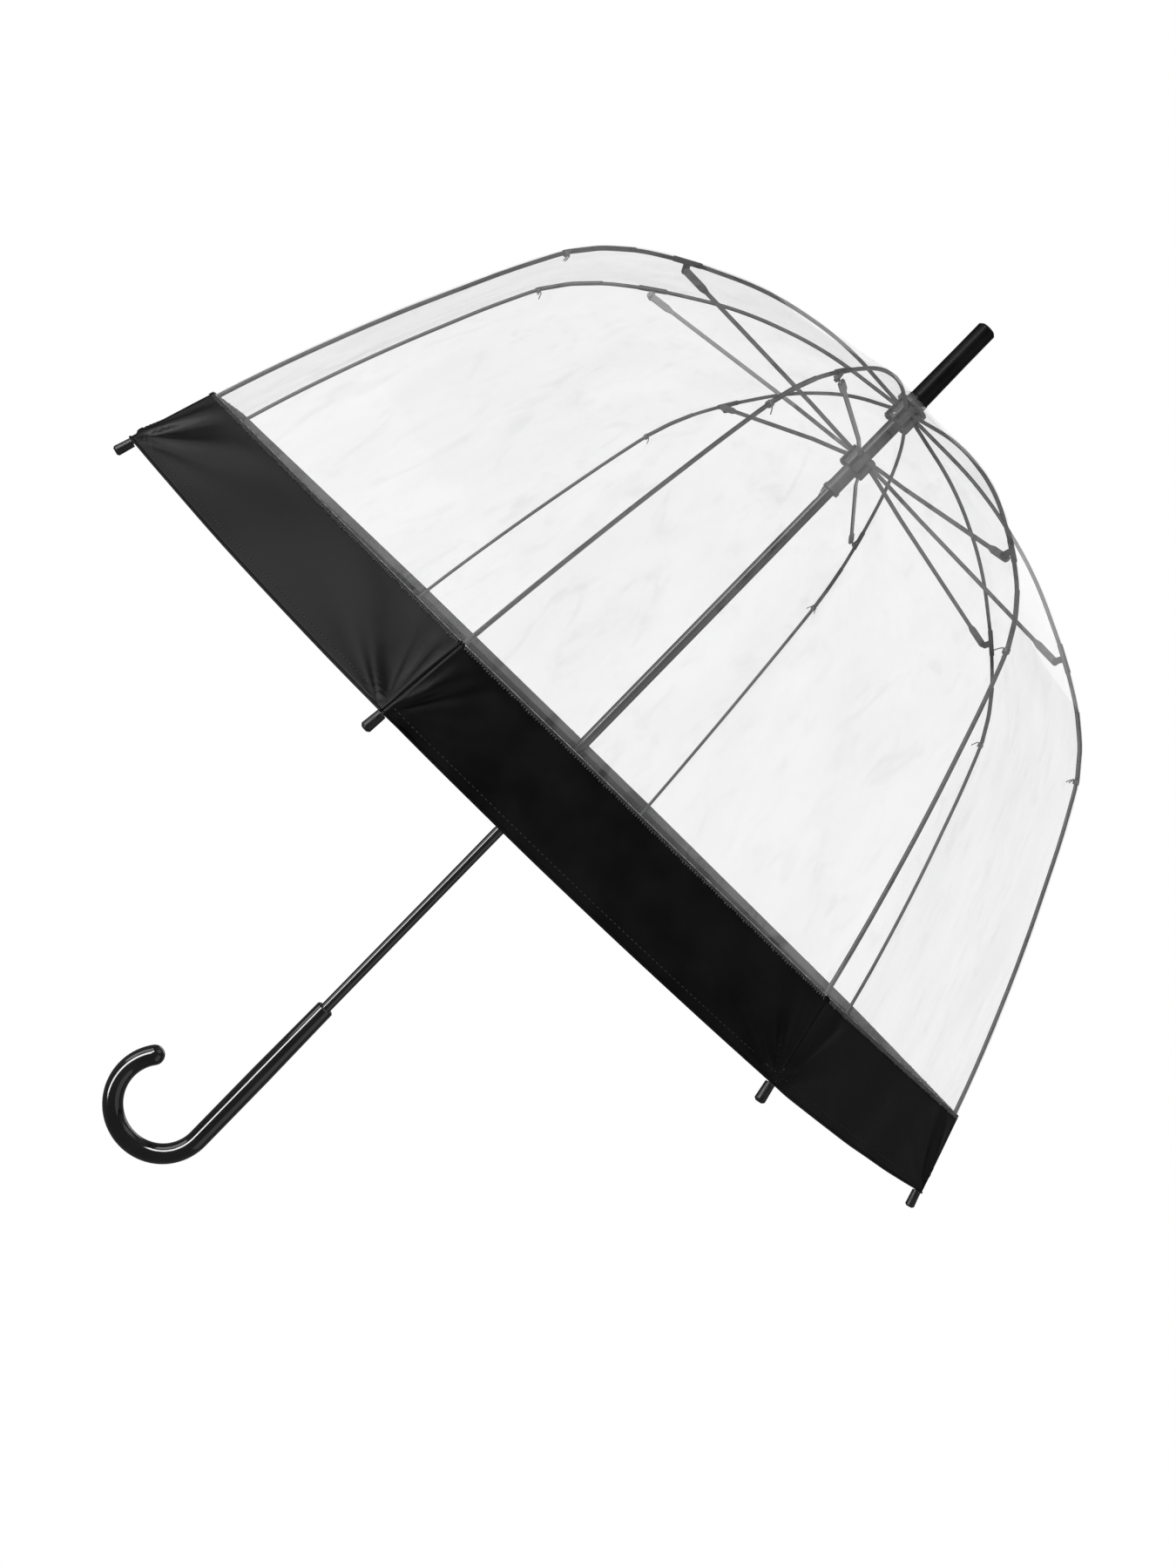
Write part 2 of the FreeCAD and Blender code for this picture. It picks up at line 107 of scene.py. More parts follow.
# ---- curves in a rib's plane ----
def smooth_line(points, steps=10):
    """A line that rounds the corners of a run of points, as a rib does."""
    p = np.array(points, float)
    middles = (p[:-1] + p[1:]) / 2
    middles[0], middles[-1] = p[0], p[-1]
    line = [p[0]]
    for i in range(1, len(p) - 1):
        for t in np.linspace(0, 1, steps + 1)[1:]:
            line.append((1 - t) ** 2 * middles[i - 1] + 2 * t * (1 - t) * p[i] + t ** 2 * middles[i])
    return np.array(line)


def unit_rows(vectors):
    """Vectors scaled to a length of one."""
    return vectors / np.linalg.norm(vectors, axis=-1, keepdims=True)


def outwards(line, distance):
    """A line moved away from the dome's inside."""
    along = unit_rows(np.gradient(line, axis=0))
    return line + np.stack([-along[:, 1], along[:, 0]], 1) * distance


def lengths(line):
    """Distance along a line from its first point to each point."""
    return np.concatenate([[0], np.cumsum(np.linalg.norm(np.diff(line, axis=0), axis=1))])


def part_of(line, start, end, count):
    """Points spread evenly over a stretch of a line, between two distances."""
    s = lengths(line)
    at = np.linspace(start, end, count)
    return np.stack([np.interp(at, s, line[:, k]) for k in range(line.shape[1])], 1)


def evenly(line, count):
    """Points spread evenly along a line."""
    return part_of(line, 0, lengths(line)[-1], count)


def make_film_line():
    """The film's line over a rib, from the crown to the lower edge."""
    over_rib = outwards(RIB_LINE, FILM_OFF_RIB)[RIB_LINE[:, 0] > FILM_MEETS_RIB_R]
    rough = evenly(np.vstack([FILM_CROWN, over_rib]), FILM_ROUGH_POINTS)
    return evenly(smooth_line(rough), FILM_LINE_POINTS)


RIB_LINE = smooth_line(UPPER_RIB + LOWER_RIB[1:])
FILM_LINE = make_film_line()
FILM_LENGTH = lengths(FILM_LINE)[-1]
FILM_END = FILM_LENGTH - HEM_HEIGHT + FILM_OVER_HEM
BEND_AT = lengths(FILM_LINE)[np.argmin(np.linalg.norm(FILM_LINE - BEND, axis=1))]


# ---- mesh helpers ----
# fixed directions, from which the cross-sections of tubes and threads are set out
TUBE_REFERENCE = [0.31, 0.17, 0.93]
THREAD_REFERENCE = [0.2, 0.3, 0.93]


def add_object(name, vertices, faces, material, smooth=True):
    mesh = bpy.data.meshes.new(name)
    mesh.from_pydata([tuple(v) for v in np.asarray(vertices, float)], [], [tuple(f) for f in faces])
    mesh.materials.append(material)
    mesh.validate()
    if smooth:
        mesh.polygons.foreach_set("use_smooth", [True] * len(mesh.polygons))
    obj = bpy.data.objects.new(name, mesh)
    bpy.context.scene.collection.objects.link(obj)
    return obj


def grid_faces(rows, columns, wrap=False):
    """Four-sided faces of a grid of points, numbered row by row; wrap closes each row to a ring."""
    faces = []
    last = columns if wrap else columns - 1
    for i in range(rows - 1):
        for j in range(last):
            a = i * columns + j
            b = i * columns + (j + 1) % columns
            faces.append((a, b, b + columns, a + columns))
    return faces


def faces_outwards(rows, columns):
    """Faces of a canopy panel, turned so that their fronts agree with the outward normals."""
    return [face[::-1] for face in grid_faces(rows, columns)]


def tube(points, radius, sides):
    """Vertices and faces of a closed tube along a line of 3-D points."""
    points = np.asarray(points, float)
    along = unit_rows(np.gradient(points, axis=0))
    side = unit_rows(np.cross(along, TUBE_REFERENCE))
    other = np.cross(along, side)
    rings = []
    for p, s, o in zip(points, side, other):
        for k in range(sides):
            a = 2 * math.pi * k / sides
            rings.append(p + radius * (math.cos(a) * s + math.sin(a) * o))
    count = len(points)
    faces = grid_faces(count, sides, wrap=True)
    faces.append(tuple(range(sides))[::-1])
    faces.append(tuple((count - 1) * sides + k for k in range(sides)))
    return np.array(rings), faces


def join_parts(parts):
    """One list of vertices and faces from several."""
    vertices, faces, first = [], [], 0
    for v, f in parts:
        vertices.append(v)
        faces += [tuple(i + first for i in face) for face in f]
        first += len(v)
    return np.vstack(vertices), faces


def turn(points, azimuth):
    """Points turned about the shaft's axis."""
    a = math.radians(azimuth)
    c, s = math.cos(a), math.sin(a)
    p = np.asarray(points, float)
    return np.stack([p[..., 0] * c - p[..., 1] * s, p[..., 0] * s + p[..., 1] * c, p[..., 2]], -1)


# ---- materials ----
GRAIN_SCALE = 900.0
WEAVE_SCALE = 900.0
DOWN_THE_FILM = (1.0, 1.0, 0.12)
FAR_BELOW = -1.0


def new_material(name):
    """A material with its nodes, its links and its shader."""
    material = bpy.data.materials.new(name)
    material.use_nodes = True
    nodes = material.node_tree.nodes
    return material, nodes, material.node_tree.links, nodes["Principled BSDF"]


def add_node(nodes, kind, **settings):
    """A node with its inputs and settings given by name."""
    node = nodes.new(kind)
    for key, value in settings.items():
        if key in node.inputs:
            node.inputs[key].default_value = value
        else:
            setattr(node, key, value)
    return node


def noise(nodes, links, scale, detail=4.0, stretch=None):
    """Noise in the object's own coordinates, which stay with the piece."""
    coordinates = add_node(nodes, "ShaderNodeTexCoord")
    source = coordinates.outputs["Object"]
    if stretch:
        mapping = add_node(nodes, "ShaderNodeMapping", Scale=stretch)
        links.new(source, mapping.inputs["Vector"])
        source = mapping.outputs["Vector"]
    texture = add_node(nodes, "ShaderNodeTexNoise", Scale=scale, Detail=detail)
    links.new(source, texture.inputs["Vector"])
    return texture


def ramp(nodes, links, factor, low, high, low_at=0.35, high_at=0.65):
    """A colour that goes from low to high between two values of a factor."""
    node = add_node(nodes, "ShaderNodeValToRGB")
    node.color_ramp.elements[0].position = low_at
    node.color_ramp.elements[1].position = high_at
    node.color_ramp.elements[0].color = low
    node.color_ramp.elements[1].color = high
    links.new(factor, node.inputs["Fac"])
    return node


def grey(value):
    """A neutral colour, a touch cool."""
    return (value, value, value * 1.02, 1.0)


def level(value):
    """A plain number as the colour of a ramp's end."""
    return (value, value, value, 1.0)


def surface(name, dark, light, rough_low, rough_high, scale, metallic=0.0, coat=0.0, bump=0.0,
            specular=0.5):
    """A solid material whose colour and roughness vary a little, with a fine bump."""
    material, nodes, links, shader = new_material(name)
    shader.inputs["Metallic"].default_value = metallic
    shader.inputs["Specular IOR Level"].default_value = specular
    shader.inputs["Coat Weight"].default_value = coat
    shader.inputs["Coat Roughness"].default_value = 0.06
    texture = noise(nodes, links, scale)
    colour = ramp(nodes, links, texture.outputs["Fac"], grey(dark), grey(light))
    links.new(colour.outputs["Color"], shader.inputs["Base Color"])
    rough = ramp(nodes, links, texture.outputs["Fac"], level(rough_low), level(rough_high),
                 low_at=0.3, high_at=0.7)
    links.new(rough.outputs["Color"], shader.inputs["Roughness"])
    if bump:
        grain = noise(nodes, links, GRAIN_SCALE, detail=3.0)
        node = add_node(nodes, "ShaderNodeBump", Strength=bump, Distance=0.0002)
        links.new(grain.outputs["Fac"], node.inputs["Height"])
        links.new(node.outputs["Normal"], shader.inputs["Normal"])
    return material


def two_tone(name, base, fitting, low_z, high_z):
    """Painted wire, with a black plastic fitting between two heights at rest."""
    material, nodes, links, shader = new_material(name)
    texture = noise(nodes, links, 260.0)
    wire = ramp(nodes, links, texture.outputs["Fac"], grey(base * 0.8), grey(base * 1.25))
    black = ramp(nodes, links, texture.outputs["Fac"], grey(fitting * 0.7), grey(fitting * 1.3))
    coordinates = add_node(nodes, "ShaderNodeTexCoord")
    split = add_node(nodes, "ShaderNodeSeparateXYZ")
    links.new(coordinates.outputs["Object"], split.inputs["Vector"])
    above = add_node(nodes, "ShaderNodeMath", operation="GREATER_THAN")
    links.new(split.outputs["Z"], above.inputs[0])
    above.inputs[1].default_value = low_z
    below = add_node(nodes, "ShaderNodeMath", operation="LESS_THAN")
    links.new(split.outputs["Z"], below.inputs[0])
    below.inputs[1].default_value = high_z
    both = add_node(nodes, "ShaderNodeMath", operation="MULTIPLY")
    links.new(above.outputs[0], both.inputs[0])
    links.new(below.outputs[0], both.inputs[1])
    # a colour mix has its two colours at 6 and 7 and its result at 2
    mix = add_node(nodes, "ShaderNodeMix", data_type="RGBA")
    links.new(both.outputs[0], mix.inputs["Factor"])
    links.new(wire.outputs["Color"], mix.inputs[6])
    links.new(black.outputs["Color"], mix.inputs[7])
    links.new(mix.outputs[2], shader.inputs["Base Color"])
    rough = ramp(nodes, links, texture.outputs["Fac"], level(0.3), level(0.48))
    links.new(rough.outputs["Color"], shader.inputs["Roughness"])
    return material


def film_material():
    """Clear soft film: a thin pale veil with streaks, crease lines painted darker grey in the colour as
    shade, and sharp gloss.
    """
    material, nodes, links, shader = new_material("clear_film")
    shader.inputs["IOR"].default_value = 1.5
    shader.inputs["Coat Weight"].default_value = 0.6
    shader.inputs["Coat Roughness"].default_value = 0.03
    streaks = noise(nodes, links, 24.0, detail=5.0, stretch=DOWN_THE_FILM)
    folds = noise(nodes, links, 46.0, detail=6.0, stretch=DOWN_THE_FILM)
    folds.inputs["Distortion"].default_value = 1.4
    # painted shade: rare darker grey lines in the base colour where the film creases
    crease_shade = ramp(nodes, links, folds.outputs["Fac"], grey(0.34), grey(0.72), low_at=0.32, high_at=0.44)
    links.new(crease_shade.outputs["Color"], shader.inputs["Base Color"])
    veil = ramp(nodes, links, streaks.outputs["Fac"], level(0.11), level(0.18), low_at=0.36, high_at=0.66)
    facing = add_node(nodes, "ShaderNodeLayerWeight", Blend=0.35)
    edge = ramp(nodes, links, facing.outputs["Facing"], level(0.0), level(0.12), low_at=0.6, high_at=1.0)
    total = add_node(nodes, "ShaderNodeMath", operation="ADD", use_clamp=True)
    links.new(veil.outputs["Color"], total.inputs[0])
    links.new(edge.outputs["Color"], total.inputs[1])
    links.new(total.outputs[0], shader.inputs["Alpha"])
    rough = ramp(nodes, links, streaks.outputs["Fac"], level(0.04), level(0.14))
    links.new(rough.outputs["Color"], shader.inputs["Roughness"])
    waves = noise(nodes, links, 14.0, detail=2.0, stretch=(1.0, 1.0, 0.25))
    bump = add_node(nodes, "ShaderNodeBump", Strength=0.25, Distance=0.002)
    links.new(waves.outputs["Fac"], bump.inputs["Height"])
    links.new(bump.outputs["Normal"], shader.inputs["Normal"])
    return material


def fabric_material(name, dark, light, sheen):
    """Closely woven satin cloth."""
    material, nodes, links, shader = new_material(name)
    shader.inputs["Sheen Weight"].default_value = sheen
    shader.inputs["Sheen Roughness"].default_value = 0.4
    shader.inputs["Specular IOR Level"].default_value = 0.2
    texture = noise(nodes, links, 30.0)
    colour = ramp(nodes, links, texture.outputs["Fac"], grey(dark), grey(light))
    links.new(colour.outputs["Color"], shader.inputs["Base Color"])
    rough = ramp(nodes, links, texture.outputs["Fac"], level(0.36), level(0.5))
    links.new(rough.outputs["Color"], shader.inputs["Roughness"])
    coordinates = add_node(nodes, "ShaderNodeTexCoord")
    across = add_node(nodes, "ShaderNodeTexWave", Scale=WEAVE_SCALE, bands_direction="Z")
    links.new(coordinates.outputs["Object"], across.inputs["Vector"])
    down = add_node(nodes, "ShaderNodeTexWave", Scale=WEAVE_SCALE, bands_direction="DIAGONAL")
    links.new(coordinates.outputs["Object"], down.inputs["Vector"])
    weave = add_node(nodes, "ShaderNodeMath", operation="MULTIPLY")
    links.new(across.outputs["Fac"], weave.inputs[0])
    links.new(down.outputs["Fac"], weave.inputs[1])
    bump = add_node(nodes, "ShaderNodeBump", Strength=0.22, Distance=0.0001)
    links.new(weave.outputs[0], bump.inputs["Height"])
    links.new(bump.outputs["Normal"], shader.inputs["Normal"])
    return material


RIB_GREY = 0.055
BRACKET_HEIGHTS = (BRACKET[1] - 0.0125, BRACKET[1] + 0.0075)
CAP_TOP = TIP[1] - 0.0003

# a surface has: name, darkest and lightest grey, least and greatest roughness, scale of its pattern
MATERIALS = {
    "shaft_black": surface("shaft_black", 0.006, 0.012, 0.08, 0.14, 60.0, coat=1.0),
    "ferrule_black": surface("ferrule_black", 0.003, 0.006, 0.34, 0.38, 40.0, specular=0.15),
    "fitting_dark": surface("fitting_dark", 0.045, 0.07, 0.4, 0.52, 200.0, bump=0.1),
    "spring_steel": surface("spring_steel", 0.4, 0.55, 0.25, 0.4, 300.0, metallic=1.0),
    "plastic_black": surface("plastic_black", 0.012, 0.02, 0.34, 0.46, 150.0, bump=0.1),
    "stop_tube_black": surface("stop_tube_black", 0.02, 0.035, 0.3, 0.42, 120.0, bump=0.08),
    "handle_gloss": surface("handle_gloss", 0.004, 0.008, 0.1, 0.17, 40.0, coat=1.0),
    "runner_plastic": surface("runner_plastic", 0.05, 0.08, 0.36, 0.5, 160.0, bump=0.1),
    "rib_upper": two_tone("rib_upper_paint", RIB_GREY, 0.012, *BRACKET_HEIGHTS),
    "rib_lower": two_tone("rib_lower_paint", RIB_GREY, 0.008, FAR_BELOW, CAP_TOP),
    "stretcher_grey": surface("stretcher_grey", 0.09, 0.14, 0.3, 0.45, 220.0, metallic=0.3),
    "clear_film": film_material(),
    "hem_fabric": fabric_material("hem_fabric", 0.0018, 0.004, 0.01),
    # painted highlight: the zigzag thread is black, and its grey colour stands for the glints along it
    "thread": surface("zigzag_thread_painted_highlight", 0.05, 0.11, 0.5, 0.7, 500.0),
    "thread_black": surface("thread_black", 0.015, 0.03, 0.5, 0.7, 500.0),
    # painted highlight: the clear film's cut edge is drawn in light grey to show the bright line that
    # light makes along it
    "film_edge": surface("film_edge", 0.3, 0.5, 0.25, 0.4, 200.0, coat=0.5),
    "tie": surface("tie_grey", 0.08, 0.2, 0.5, 0.65, 500.0),
}


def paint_cad_nodes():
    """Give each CAD node its procedural material, in one slot."""
    slot_of = {row["node"]: row["material_slot"] for row in frame["record"]["subparts"]}
    for name, obj in frame["nodes"].items():
        key = name.rsplit("_", 1)[0] if name.startswith("rib_") else slot_of[name]
        obj.data.materials.clear()
        obj.data.materials.append(MATERIALS[key])
        obj.data.polygons.foreach_set("material_index", [0] * len(obj.data.polygons))


# ---- the canopy ----
FILM_ACROSS = 57
FILM_DOWN_UPPER = 46
FILM_DOWN_LOWER = 56
FILM_SEED = 100
FILM_SLACK = 0.0022
FILM_GAP_SHARE = 0.0008

HEM_PUCKERS = 9
HEM_PUCKER_LEAN = 20
SEAM_CALM = 0.03
SEAM_LEAST = 0.1
CROWN_PUCKERS = 4
CROWN_PUCKER_DEPTH = 0.25e-3
CROWN_PUCKER_REACH = 0.05


def creases(u, s, seed):
    """Depth in metres of fine puckers down the film, most near its two ends, calm at the hem."""
    waves = np.random.default_rng(seed)
    total = np.zeros_like(u)
    for _ in range(HEM_PUCKERS):
        count = waves.uniform(6, 30)
        phase = waves.uniform(0, 2 * math.pi)
        lean = waves.uniform(-3, 3)
        reach = waves.uniform(0.03, 0.09)
        strength = waves.uniform(0.15, 0.5) * 1e-3
        near_end = np.exp(-(FILM_LENGTH - s) / reach)
        total += strength * near_end * np.sin(count * u + lean * s * HEM_PUCKER_LEAN + phase)
    total *= np.clip((FILM_END - s) / SEAM_CALM, SEAM_LEAST, 1)
    for _ in range(CROWN_PUCKERS):
        count = waves.uniform(5, 12)
        phase = waves.uniform(0, 2 * math.pi)
        total += CROWN_PUCKER_DEPTH * np.exp(-s / CROWN_PUCKER_REACH) * np.sin(count * u + phase)
    return total * (1 - u ** 4)


def film_grid(line, s, seed):
    """One panel as rows of points, between two ribs that stand to either side of +X."""
    u = np.linspace(-1, 1, FILM_ACROSS)
    r, z = line[:, 0:1], line[:, 1:2]
    along = unit_rows(np.gradient(line, axis=0))
    slack = FILM_SLACK * np.sin(math.pi * np.clip(s / FILM_LENGTH, 0, 1))[:, None] * (1 - u[None, :] ** 2)
    depth = creases(np.tile(u, (len(s), 1)), s[:, None], seed) - slack
    x = r * math.cos(HALF_SECTOR) - along[:, 1:2] * depth
    y = r * math.sin(HALF_SECTOR) * u[None, :] * (1 - FILM_GAP_SHARE)
    return np.stack([x, y, z + along[:, 0:1] * depth], -1)


def smooth_across_cut(upper, lower, whole_normals, cut_row):
    """Give both halves of a panel the normals of the uncut panel, so that the cut doesn't show."""
    upper_normals = whole_normals[:(cut_row + 1) * FILM_ACROSS]
    lower_normals = whole_normals[cut_row * FILM_ACROSS:]
    upper.data.normals_split_custom_set_from_vertices(upper_normals.tolist())
    lower.data.normals_split_custom_set_from_vertices(lower_normals.tolist())


def grid_normals(points):
    """Unit normals of a grid of points, outwards."""
    across = np.gradient(points, axis=1)
    down = np.gradient(points, axis=0)
    normals = unit_rows(np.cross(down, across))
    if normals[len(normals) // 2, FILM_ACROSS // 2, 0] < 0:
        normals = -normals
    return normals


def make_panel(index):
    """The clear film between two ribs, cut in two where the ribs bend."""
    number = str(index + 1)
    azimuth = panel_azimuth(index)
    upper_line = part_of(FILM_LINE, 0, BEND_AT, FILM_DOWN_UPPER)
    lower_line = part_of(FILM_LINE, BEND_AT, FILM_END, FILM_DOWN_LOWER)
    line = np.vstack([upper_line, lower_line[1:]])
    s = np.concatenate([np.linspace(0, BEND_AT, FILM_DOWN_UPPER),
                        np.linspace(BEND_AT, FILM_END, FILM_DOWN_LOWER)[1:]])
    grid = film_grid(line, s, FILM_SEED + index)
    points = turn(grid, azimuth)
    normals = turn(grid_normals(grid), azimuth)
    cut = FILM_DOWN_UPPER - 1
    rows = len(points)
    flat = points.reshape(-1, 3)
    upper = add_object("film_upper_" + number, flat[:(cut + 1) * FILM_ACROSS],
                       faces_outwards(cut + 1, FILM_ACROSS), MATERIALS["clear_film"])
    lower = add_object("film_lower_" + number, flat[cut * FILM_ACROSS:],
                       faces_outwards(rows - cut, FILM_ACROSS), MATERIALS["clear_film"])
    smooth_across_cut(upper, lower, normals.reshape(-1, 3), cut)
    for piece, node in ((upper, "panel_upper_" + number), (lower, "panel_lower_" + number)):
        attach(piece, node)
        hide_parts(node)
    return [upper, lower]


# ---- the hem ----
HEM_ACROSS = 161
HEM_DOWN = 26
HEM_SEED = 300
HEM_THICKNESS = 0.0005
HEM_SAG = 0.0025
HEM_WIDTH_SHARE = 0.9985
HEM_STEPS = np.linspace(0, 1, 60)
HEM_STRETCH = part_of(FILM_LINE, FILM_LENGTH - HEM_HEIGHT, FILM_LENGTH, len(HEM_STEPS))
HEM_LINE = outwards(HEM_STRETCH, HEM_OFF_RIB - FILM_OFF_RIB)

# fans: how many waves each has about its corner, and their share of HEM_LIFT
HEM_FANS = ((7, 1.0), (12, 0.7), (19, 0.35))
HEM_LIFT = 0.0027
HEM_CALM = 0.2
FAN_REACH = 0.055
FAN_START = 0.014
FAN_EDGE = 0.008
RIPPLES = 5
RIPPLE_DEPTH = 0.00025

FOLD_POINTS = 121
FOLD_OUT = 0.0002
FOLD_R = 0.00085


def hem_point_grid(u, t, seed):
    """Points of a hem panel that faces +X: u across from -1 to 1, t down from 0 to 1."""
    r = np.interp(t, HEM_STEPS, HEM_LINE[:, 0])
    z = np.interp(t, HEM_STEPS, HEM_LINE[:, 1])
    half = r * math.sin(HALF_SECTOR)
    waves = np.random.default_rng(seed)
    depth = np.zeros_like(u)
    for side in (-1, 1):
        along = (1 - side * u) * half
        up = (1 - t) * HEM_HEIGHT
        distance = np.sqrt(along ** 2 + up ** 2)
        angle = np.arctan2(up, along + 1e-6)
        fall = np.exp(-distance / FAN_REACH) * np.clip(distance / FAN_START, 0, 1)
        fall *= np.clip(along / FAN_EDGE, 0, 1)
        fall *= np.clip(t / HEM_CALM, 0, 1)
        for count, size in HEM_FANS:
            phase = waves.uniform(0, 2 * math.pi)
            depth += size * HEM_LIFT * fall * np.sin(count * angle + phase)
    for _ in range(RIPPLES):
        count = waves.uniform(4, 14)
        phase = waves.uniform(0, 2 * math.pi)
        depth += RIPPLE_DEPTH * np.sin(count * u + phase + 2 * t) * (1 - u ** 4)
    sag = HEM_SAG * t * (1 - u ** 2)
    return np.stack([r * math.cos(HALF_SECTOR) + depth, half * u * HEM_WIDTH_SHARE, z - sag], -1)


def make_hem(index):
    """The black band below one panel, with its folded edge, its stitching and the film's cut edge."""
    number = str(index + 1)
    azimuth = panel_azimuth(index)
    t, u = np.meshgrid(np.linspace(0, 1, HEM_DOWN), np.linspace(-1, 1, HEM_ACROSS), indexing="ij")
    grid = hem_point_grid(u, t, HEM_SEED + index)
    points = turn(grid, azimuth).reshape(-1, 3)
    faces = faces_outwards(HEM_DOWN, HEM_ACROSS)
    hem = add_object("hem_band_" + number, points, faces, MATERIALS["hem_fabric"])
    solid = hem.modifiers.new("thickness", "SOLIDIFY")
    solid.thickness = HEM_THICKNESS
    solid.offset = 0
    dg = bpy.context.evaluated_depsgraph_get()
    thick = bpy.data.meshes.new_from_object(hem.evaluated_get(dg))
    hem.modifiers.clear()
    hem.data = thick
    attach(hem, "panel_lower_" + number)
    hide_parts("hem_" + number)

    # the folded lower edge
    across = np.linspace(-1, 1, FOLD_POINTS)
    edge = hem_point_grid(across, np.full_like(across, 1.0), HEM_SEED + index)
    edge[:, 0] += FOLD_OUT
    fold_tube = tube(turn(edge, azimuth), FOLD_R, sides=10)
    roll = add_object("hem_fold_" + number, *fold_tube, MATERIALS["hem_fabric"])
    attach(roll, "panel_lower_" + number)

    seam = make_zigzag(index, azimuth)
    run = make_running_stitch(index, azimuth)
    film_edge = make_film_edge(index, azimuth)
    for piece, slot in ((seam, "hem_fabric"), (run, "hem_fabric"), (film_edge, "clear_film")):
        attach(piece, "panel_lower_" + number)
    return [hem, roll, seam, run, film_edge]


# tops, lows and down are shares of the hem's height, and spans are shares of its width
THREAD_R = 0.00026
ZIGZAG_PITCH = 0.0021
ZIGZAG_TOP = 0.0
ZIGZAG_LOW = 0.048
ZIGZAG_SPAN = 0.985
ZIGZAG_UNEVEN = 0.004
ZIGZAG_OUT = 0.0011
ZIGZAG_SLOPE = 0.3
ZIGZAG_SEED = 500
FILM_EDGE_POINTS = 101
FILM_EDGE_SPAN = 0.99
FILM_EDGE_DOWN = 0.004
FILM_EDGE_OUT = 0.0006
FILM_EDGE_R = 0.0003
STITCH_COUNT = 90
STITCH_SPAN = 0.98
STITCH_DOWN = 0.9
STITCH_OUT = 0.00042
SHORTEST_THREAD = 1e-7


def thread_bits(starts, ends, radius):
    """A short four-sided thread between each pair of points."""
    parts = []
    for a, b in zip(starts, ends):
        d = b - a
        n = np.linalg.norm(d)
        if n < SHORTEST_THREAD:
            continue
        d = d / n
        side = np.cross(d, THREAD_REFERENCE)
        side /= np.linalg.norm(side)
        other = np.cross(d, side)
        ring = [side * radius, other * radius, -side * radius, -other * radius]
        corners = [a + c for c in ring] + [b + c for c in ring]
        faces = [(0, 1, 5, 4), (1, 2, 6, 5), (2, 3, 7, 6), (3, 0, 4, 7), (3, 2, 1, 0), (4, 5, 6, 7)]
        parts.append((np.array(corners), faces))
    return join_parts(parts)


def make_zigzag(index, azimuth):
    """The dense zigzag that sews the film to the hem."""
    width = 2 * TIP[0] * math.sin(HALF_SECTOR)
    count = int(width / ZIGZAG_PITCH) * 2
    u = np.linspace(-ZIGZAG_SPAN, ZIGZAG_SPAN, count)
    t = np.where(np.arange(count) % 2 == 0, ZIGZAG_TOP, ZIGZAG_LOW)
    t = t + np.random.default_rng(ZIGZAG_SEED + index).normal(0, ZIGZAG_UNEVEN, count)
    points = hem_point_grid(u, np.clip(t, 0, 1), HEM_SEED + index)
    points[:, 2] += np.clip(-t, 0, 1) * HEM_HEIGHT
    points[:, 0] += ZIGZAG_OUT + np.clip(t, -1, 0) * HEM_HEIGHT * ZIGZAG_SLOPE
    points = turn(points, azimuth)
    return add_object("hem_zigzag_" + str(index + 1), *thread_bits(points[:-1], points[1:], THREAD_R),
                      MATERIALS["thread"])


def make_film_edge(index, azimuth):
    """The film's cut edge along the top of the hem, drawn as a grey tube whose colour is a painted
    highlight.
    """
    across = np.linspace(-FILM_EDGE_SPAN, FILM_EDGE_SPAN, FILM_EDGE_POINTS)
    edge = hem_point_grid(across, np.full_like(across, FILM_EDGE_DOWN), HEM_SEED + index)
    edge[:, 0] += FILM_EDGE_OUT
    return add_object("hem_film_edge_" + str(index + 1), *tube(turn(edge, azimuth), FILM_EDGE_R, sides=6),
                      MATERIALS["film_edge"])


def make_running_stitch(index, azimuth):
    """The straight seam that holds the fold of the hem's lower edge."""
    u = np.linspace(-STITCH_SPAN, STITCH_SPAN, 2 * STITCH_COUNT)
    points = hem_point_grid(u, np.full_like(u, STITCH_DOWN), HEM_SEED + index)
    points[:, 0] += STITCH_OUT
    points = turn(points, azimuth)
    return add_object("hem_stitch_" + str(index + 1), *thread_bits(points[0::2], points[1::2], THREAD_R),
                      MATERIALS["thread_black"])


# ---- small pieces on the ribs ----
# places on the flexible stretch, measured from the bend: outwards and up
BEND_PLACES = [(-0.0200, 0.0182), (-0.0094, 0.0088), (0.0, 0.0), (0.0070, -0.0088), (0.0150, -0.0188)]
BEND_OVER_RIB = 0.00025
BEND_POINTS = 34


def make_rib_bend(index):
    """The flexible stretch of the rib across its bend."""
    number = str(index + 1)
    line = np.array(BEND) + np.array(BEND_PLACES)
    smooth = evenly(smooth_line(line, 8), BEND_POINTS)
    points = np.stack([smooth[:, 0], 0 * smooth[:, 0], smooth[:, 1]], 1)
    azimuth = rib_azimuth(index)
    bend_tube = tube(turn(points, azimuth), RIB_R + BEND_OVER_RIB, sides=14)
    piece = add_object("rib_bend_" + number, *bend_tube, MATERIALS["rib_upper"])
    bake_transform(piece)


TIE_RADIUS = 0.2925
TIE_TURNS = 4
TIE_TURN_POINTS = 30
TIE_PITCH = 0.0009
TIE_COIL_R = RIB_R + 0.0006
TIE_THREAD_R = 0.00045
TIE_SEED = 700
TAIL_DEPTH = 0.002
TAIL_APART = 0.0015
TAIL_DROOP = (0, 0, -0.002)
TAIL_POINTS = 8


